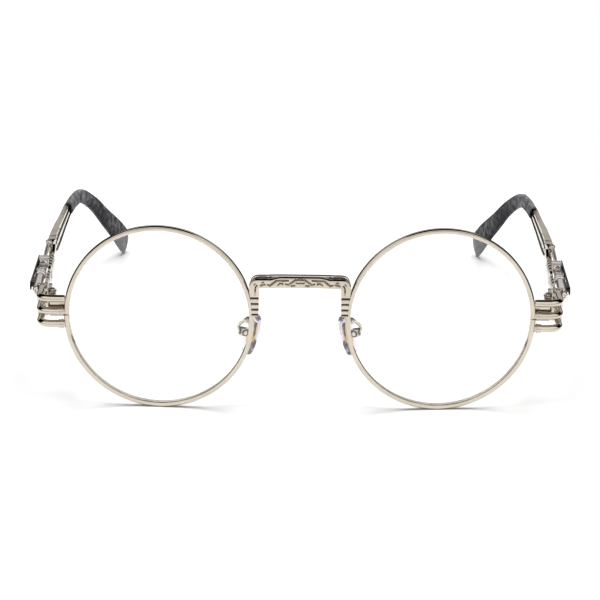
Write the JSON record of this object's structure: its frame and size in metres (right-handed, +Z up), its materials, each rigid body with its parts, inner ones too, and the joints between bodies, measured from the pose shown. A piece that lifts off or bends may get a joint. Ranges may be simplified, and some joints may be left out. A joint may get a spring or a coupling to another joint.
{
  "type": "eyeglasses",
  "caption": "Round wire-rim eyeglasses with a staple bridge, three-wire end pieces, nose pads and ornamental folding temples with black ear tips.",
  "frame": {"origin": "middle of the footprint, on the surface that the rims and the temple tips stand on", "axes": "+X towards the wearer's left temple (right in a view of the front), +Y from the front back along the temples, +Z up"},
  "size_m": [0.1482, 0.1388, 0.051],
  "materials": {
    "frame_metal": "polished champagne nickel plating",
    "screw_steel": "turned and plated",
    "lens_clear": "clear, coated",
    "pad_silicone": "translucent silicone, smooth",
    "tip_plastic": "satin black"
  },
  "bodies": {
    "front": {"bridge_plate": "frame_metal", "bridge_rail": "frame_metal", "rim_left": "frame_metal", "rim_right": "frame_metal", "prong_upper_left": "frame_metal", "prong_upper_right": "frame_metal", "prong_middle_left": "frame_metal", "prong_middle_right": "frame_metal", "prong_lower_left": "frame_metal", "prong_lower_right": "frame_metal", "prong_collar_middle_left": "frame_metal", "prong_collar_middle_right": "frame_metal", "prong_collar_lower_left": "frame_metal", "prong_collar_lower_right": "frame_metal", "rim_lock_upper_left": "frame_metal", "rim_lock_upper_right": "frame_metal", "rim_lock_lower_left": "frame_metal", "rim_lock_lower_right": "frame_metal", "hinge_block_left": "frame_metal", "hinge_block_right": "frame_metal", "pad_arm_left": "frame_metal", "pad_arm_right": "frame_metal", "pad_box_left": "frame_metal", "pad_box_right": "frame_metal", "rim_screw_left": "screw_steel", "rim_screw_right": "screw_steel", "hinge_screw_left": "screw_steel", "hinge_screw_right": "screw_steel", "pad_screw_left": "screw_steel", "pad_screw_right": "screw_steel", "lens_left": "lens_clear", "lens_right": "lens_clear"},
    "right_temple": {"temple_hinge_right": "frame_metal", "filigree_plate_right": "frame_metal", "barrel_rod_right": "frame_metal", "barrel_sleeve_right": "frame_metal", "barrel_rings_right": "frame_metal", "cross_wrap_right": "frame_metal", "barrel_end_right": "frame_metal", "side_plate_right": "frame_metal", "temple_rivet_right": "screw_steel", "temple_bar_right": "frame_metal", "temple_tip_right": "tip_plastic"},
    "left_temple": {"temple_hinge_left": "frame_metal", "filigree_plate_left": "frame_metal", "barrel_rod_left": "frame_metal", "barrel_sleeve_left": "frame_metal", "barrel_rings_left": "frame_metal", "cross_wrap_left": "frame_metal", "barrel_end_left": "frame_metal", "side_plate_left": "frame_metal", "temple_rivet_left": "screw_steel", "temple_bar_left": "frame_metal", "temple_tip_left": "tip_plastic"},
    "right_nose_pad": {"pad_insert_right": "screw_steel", "nose_pad_right": "pad_silicone"},
    "left_nose_pad": {"pad_insert_left": "screw_steel", "nose_pad_left": "pad_silicone"}
  },
  "joints": [
    {"name": "right_temple_fold", "type": "hinge", "parent": "front", "child": "right_temple", "pos_m": [0.0676, -0.05185, 0.02525], "axis": [0, 0, 1], "range_deg": [0, 87]},
    {"name": "left_temple_fold", "type": "hinge", "parent": "front", "child": "left_temple", "pos_m": [-0.0676, -0.05185, 0.02525], "axis": [0, 0, -1], "range_deg": [0, 80]},
    {"name": "right_pad_rock", "type": "hinge", "parent": "front", "child": "right_nose_pad", "pos_m": [0.01497, -0.05965, 0.01947], "axis": [0.342, 0.9397, 0], "range_deg": [-8, 8]},
    {"name": "left_pad_rock", "type": "hinge", "parent": "front", "child": "left_nose_pad", "pos_m": [-0.01497, -0.05965, 0.01947], "axis": [-0.342, 0.9397, 0], "range_deg": [-8, 8]}
  ]
}
